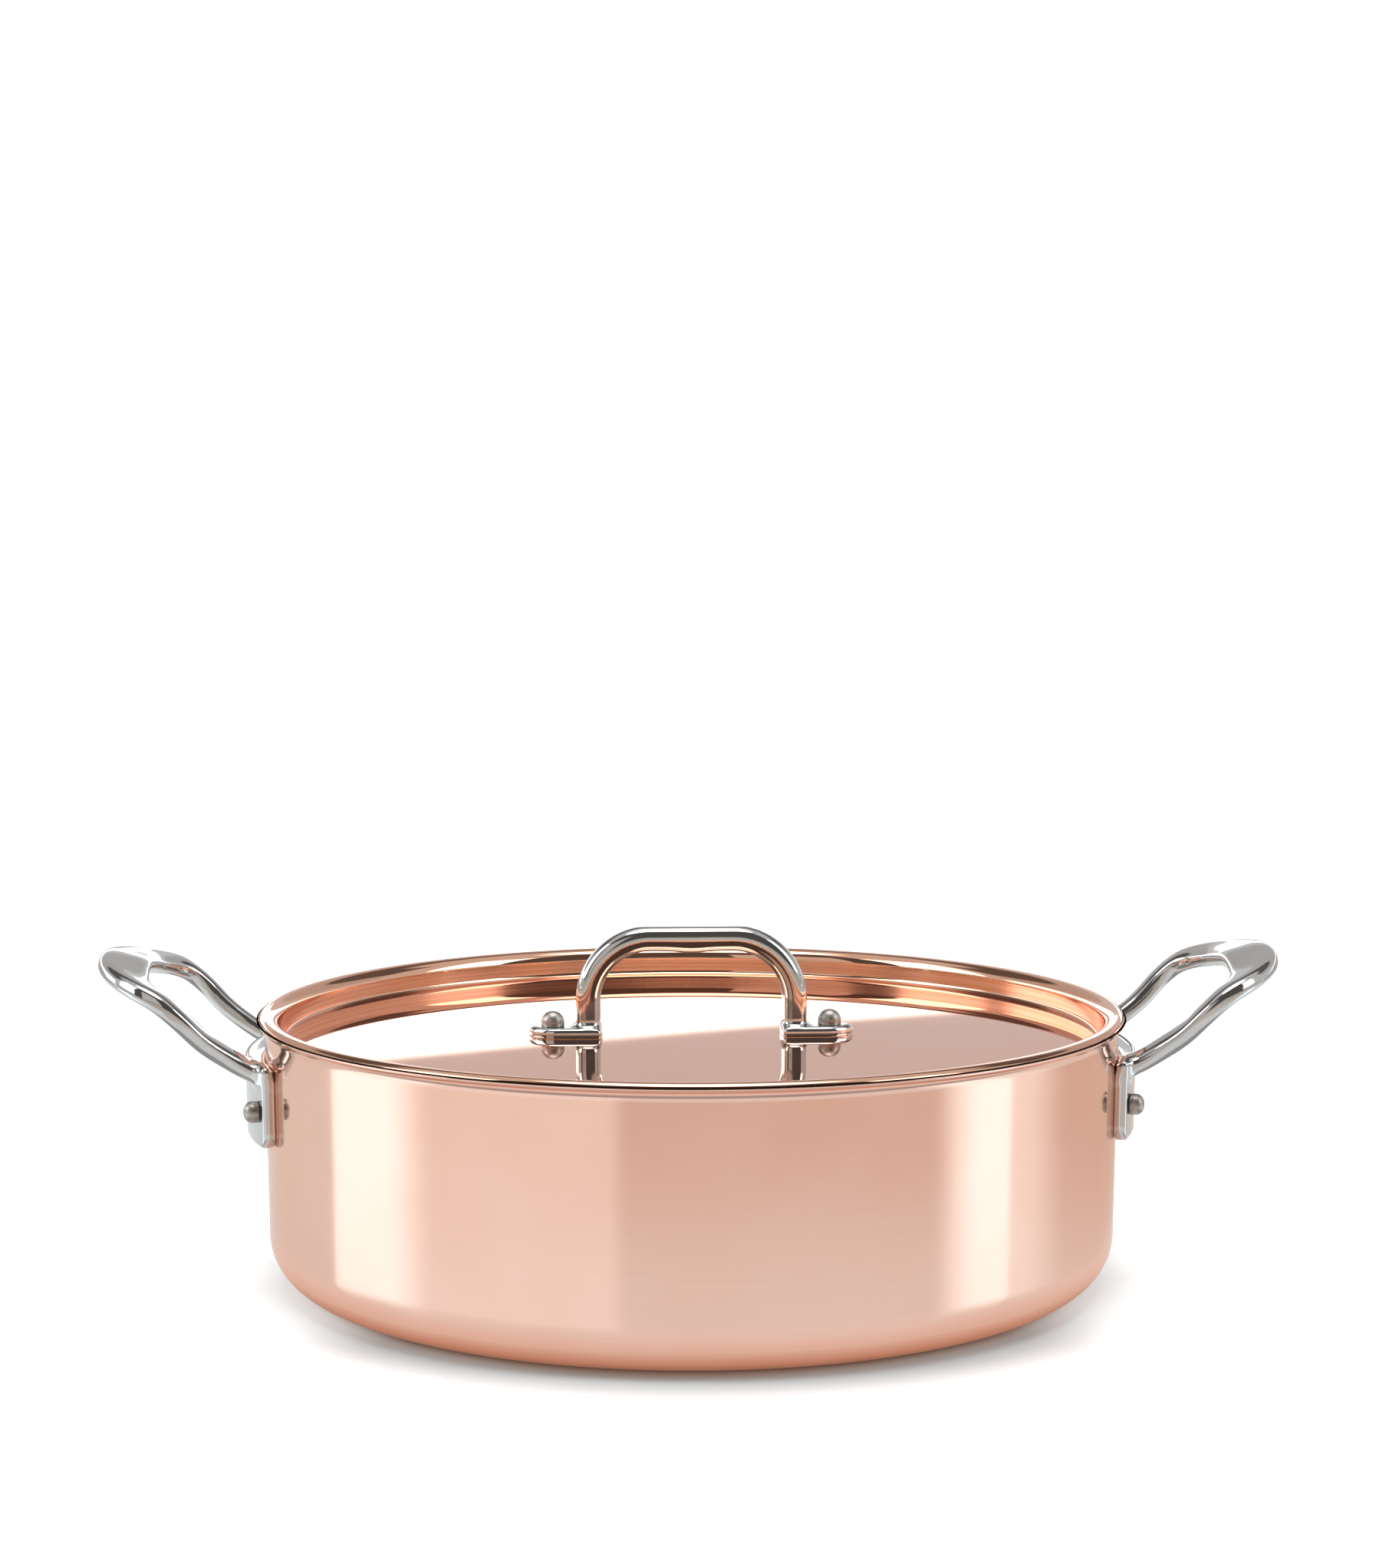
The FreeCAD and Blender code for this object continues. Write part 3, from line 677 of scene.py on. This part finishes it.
def painted_reflection_material():
    """Painted reflection for the rounded corner of the pan: a glowing disc, seen only in reflections, painted with the
    shaded table close to it and dark at the base.
    """
    m = bpy.data.materials.new("card")
    m.use_nodes = True
    k = Nodes(m.node_tree)
    out = k.new("ShaderNodeOutputMaterial")
    tc, r = radius_of(k)
    e = k.new("ShaderNodeEmission")
    x = k.remap(r, 0.11, 0.21, smooth=False)
    # painted shadow: colours by radius, dark at the base and lighter outwards
    k.put(e.inputs["Color"], ramp(k, x, [(0.0, (0.05, 0.03, 0.02)), (0.14, (0.16, 0.08, 0.055)), (0.225, (0.58, 0.37, 0.28)),
                                         (0.31, (0.80, 0.68, 0.61)), (0.42, (0.85, 0.80, 0.77)), (0.6, (0.85, 0.84, 0.83))]))
    e.inputs["Strength"].default_value = 1.0
    t = k.new("ShaderNodeBsdfTransparent")
    mx = k.new("ShaderNodeMixShader")
    k.put(mx.inputs[0], k.remap(r, 0.152, 0.200))
    k.t.links.new(e.outputs[0], mx.inputs[1])
    k.t.links.new(t.outputs[0], mx.inputs[2])
    k.t.links.new(mx.outputs[0], out.inputs[0])
    return m


def ring_object(name, r0, r1, z, mat, segs=128):
    verts, faces = [], []
    for r in (r0, r1):
        for i in range(segs):
            a = 2 * math.pi * i / segs
            verts.append((r * math.cos(a), r * math.sin(a), z))
    if r0 == 0:
        verts = verts[segs:]
        faces = [tuple(range(segs))]
    else:
        for i in range(segs):
            j = (i + 1) % segs
            faces.append((i, segs + i, segs + j, j))
    me = bpy.data.meshes.new(name)
    me.from_pydata(verts, [], faces)
    me.materials.append(mat)
    ob = bpy.data.objects.new(name, me)
    bpy.context.scene.collection.objects.link(ob)
    return ob


mat_floor = floor_with_painted_light()
floor = ring_object("floor", 0.0, 12.0, 0.0, mat_floor)
floor.visible_glossy = False
# painted reflection: a glowing disc that only glossy rays see, mirrored by the polished metal close round the base
painted_reflection_disc = ring_object("floor_painted_reflection", 0.0, 0.205, -0.0002, painted_reflection_material())
for flag in ("visible_camera", "visible_diffuse", "visible_transmission", "visible_volume_scatter", "visible_shadow"):
    setattr(painted_reflection_disc, flag, False)


# ================================================================== studio light
world = bpy.data.worlds.new("studio")
bpy.context.scene.world = world
world.use_nodes = True
k = Nodes(world.node_tree)
out = k.new("ShaderNodeOutputWorld")
bg = k.new("ShaderNodeBackground")
k.t.links.new(bg.outputs[0], out.inputs[0])
tc = k.new("ShaderNodeTexCoord")


def dot(vec, c):
    n = k.new("ShaderNodeVectorMath", operation="DOT_PRODUCT")
    k.put(n.inputs[0], vec)
    n.inputs[1].default_value = c
    return n.outputs["Value"]


D = tc.outputs["Generated"]
u = dot(D, (math.cos(CAM_TURN), -math.sin(CAM_TURN), 0))
v = dot(D, (-math.sin(CAM_TURN), -math.cos(CAM_TURN), 0))
w = dot(D, (0, 0, 1))
az = k.math("MULTIPLY", k.math("ARCTAN2", u, v), 180 / math.pi)          # 0 faces the front, + to the right
el = k.math("MULTIPLY", k.math("ARCSINE", w), 180 / math.pi)


def window(x, a, b, soft_a, soft_b):
    """1 between a and b, with its own softness at each end."""
    return k.math("MULTIPLY", k.remap(x, a - soft_a / 2, a + soft_a / 2), k.remap(x, b + soft_b / 2, b - soft_b / 2))


def box(a0, a1, e0, e1, sa=3.0, sb=3.0, se=3.0):
    return k.math("MULTIPLY", window(az, a0, a1, sa, sb), window(el, e0, e1, se, se))


turned_az = k.math("SUBTRACT", az, k.math("MULTIPLY", k.math("SIGN", az), 180.0))    # 0 faces the backdrop
back = k.remap(k.math("ABSOLUTE", az), 104, 112)
c = (0.65, 0.65, 0.65)
# room behind the front of the set is dark, with a mid-grey panel to the left of it
c = k.mix(box(-66, 60, 8, 66, 2, 2, 3), c, (0.10, 0.09, 0.085))
c = k.mix(box(-50, -13, 9.5, 44, 1.5, 1.5, 2), c, (0.66, 0.62, 0.59))
c = k.mix(box(-110, 104, 0, 8, 10, 10, 3), c, (0.60, 0.52, 0.43))
# two tall soft boxes at the sides
c = k.mix(box(-98, -66, 12.5, 50, 3, 3, 2), c, (3.4, 3.4, 3.4))
c = k.mix(box(60, 86, 13.5, 50, 3, 3, 2), c, (3.2, 3.2, 3.2))
# dark strip high behind the set
c = k.mix(k.math("MULTIPLY", back, window(el, 15, 46, 2, 6)), c, (0.52, 0.50, 0.49))
c = k.mix(k.math("MULTIPLY", back, window(el, 30, 48, 3, 6)), c, (0.13, 0.12, 0.115))
# overhead soft box
c = k.mix(k.remap(el, 67, 73), c, (3.7, 3.7, 3.7))
# bright backdrop, its top edge falls a little to the right
edge = k.math("ADD", 9.57, k.math("MULTIPLY", turned_az, 0.08))
c = k.mix(k.math("MULTIPLY", back, k.remap(k.math("SUBTRACT", el, edge), 0.08, -0.08)), c, (2.5, 2.5, 2.5))
# table top as the polished wall sees it: dimmer in front, brighter to the left, brightest at both sides
low_t = k.remap(el, -15.0, -11.0)
front = k.mix(low_t, (0.83, 0.84, 0.84), (0.73, 0.64, 0.575))
left = k.mix(low_t, (0.97, 0.985, 1.00), (0.92, 0.90, 0.85))
side = k.mix(low_t, (1.32, 1.50, 1.56), (1.42, 1.60, 1.68))
outer = k.mix(low_t, (0.80, 0.82, 0.82), (0.82, 0.85, 0.85))
t = k.mix(window(az, -150, -19, 4, 5), front, left)
t = k.mix(k.remap(az, -108, -111), t, outer)
t = k.mix(window(az, -109, -79, 1.2, 17), t, side)
t = k.mix(window(az, 74, 108, 18, 22), t, k.mix(0.42, front, side))
t = k.mix(window(az, 74, 92.2, 18, 1.2), t, side)
t = k.mix(k.remap(el, -33.0, -46.0), t, (0.40, 0.39, 0.385))
c = k.mix(k.remap(el, -2.0, -5.0), c, t)
# table behind the set, seen at a glance by edges of the handles
c = k.mix(k.math("MULTIPLY", back, window(el, -9.2, 4.5, 1.5, 3)), c, (0.50, 0.50, 0.50))
k.put(bg.inputs["Color"], c)
bg.inputs["Strength"].default_value = 1.0

# a plain white surround that only the camera sees
m = bpy.data.materials.new("white_surround")
m.use_nodes = True
kk = Nodes(m.node_tree)
o2 = kk.new("ShaderNodeOutputMaterial")
em = kk.new("ShaderNodeEmission")
em.inputs["Strength"].default_value = 1.3
kk.t.links.new(em.outputs[0], o2.inputs[0])
import bmesh
me = bpy.data.meshes.new("surround")
bm = bmesh.new()
bmesh.ops.create_uvsphere(bm, u_segments=48, v_segments=24, radius=11.5)
bm.to_mesh(me)
bm.free()
me.materials.append(m)
dome = bpy.data.objects.new("surround", me)
bpy.context.scene.collection.objects.link(dome)
for flag in ("visible_diffuse", "visible_glossy", "visible_transmission", "visible_volume_scatter", "visible_shadow"):
    setattr(dome, flag, False)

# ================================================================== camera
cam = bpy.data.cameras.new("camera")
cam.sensor_width = 36.0
cam.sensor_fit = "AUTO"
cam.lens = 3970.0 / 2044.0 * 36.0
cam.shift_x = -0.0012
cam.shift_y = 0.225
cam.clip_start = 0.02
cam.clip_end = 60.0
cam_ob = bpy.data.objects.new("camera", cam)
bpy.context.scene.collection.objects.link(cam_ob)
pitch = math.radians(11.55)
fwd = Vector((math.cos(pitch) * math.sin(CAM_TURN), math.cos(pitch) * math.cos(CAM_TURN), -math.sin(pitch)))
cam_ob.location = Vector((0, 0, 0.045)) - fwd * 1.015
cam_ob.rotation_euler = fwd.to_track_quat("-Z", "Y").to_euler()
bpy.context.scene.camera = cam_ob

bpy.context.scene.view_settings.view_transform = "Standard"
bpy.context.scene.view_settings.look = "None"
bpy.context.scene.view_settings.exposure = 0.0
bpy.context.scene.view_settings.gamma = 1.0
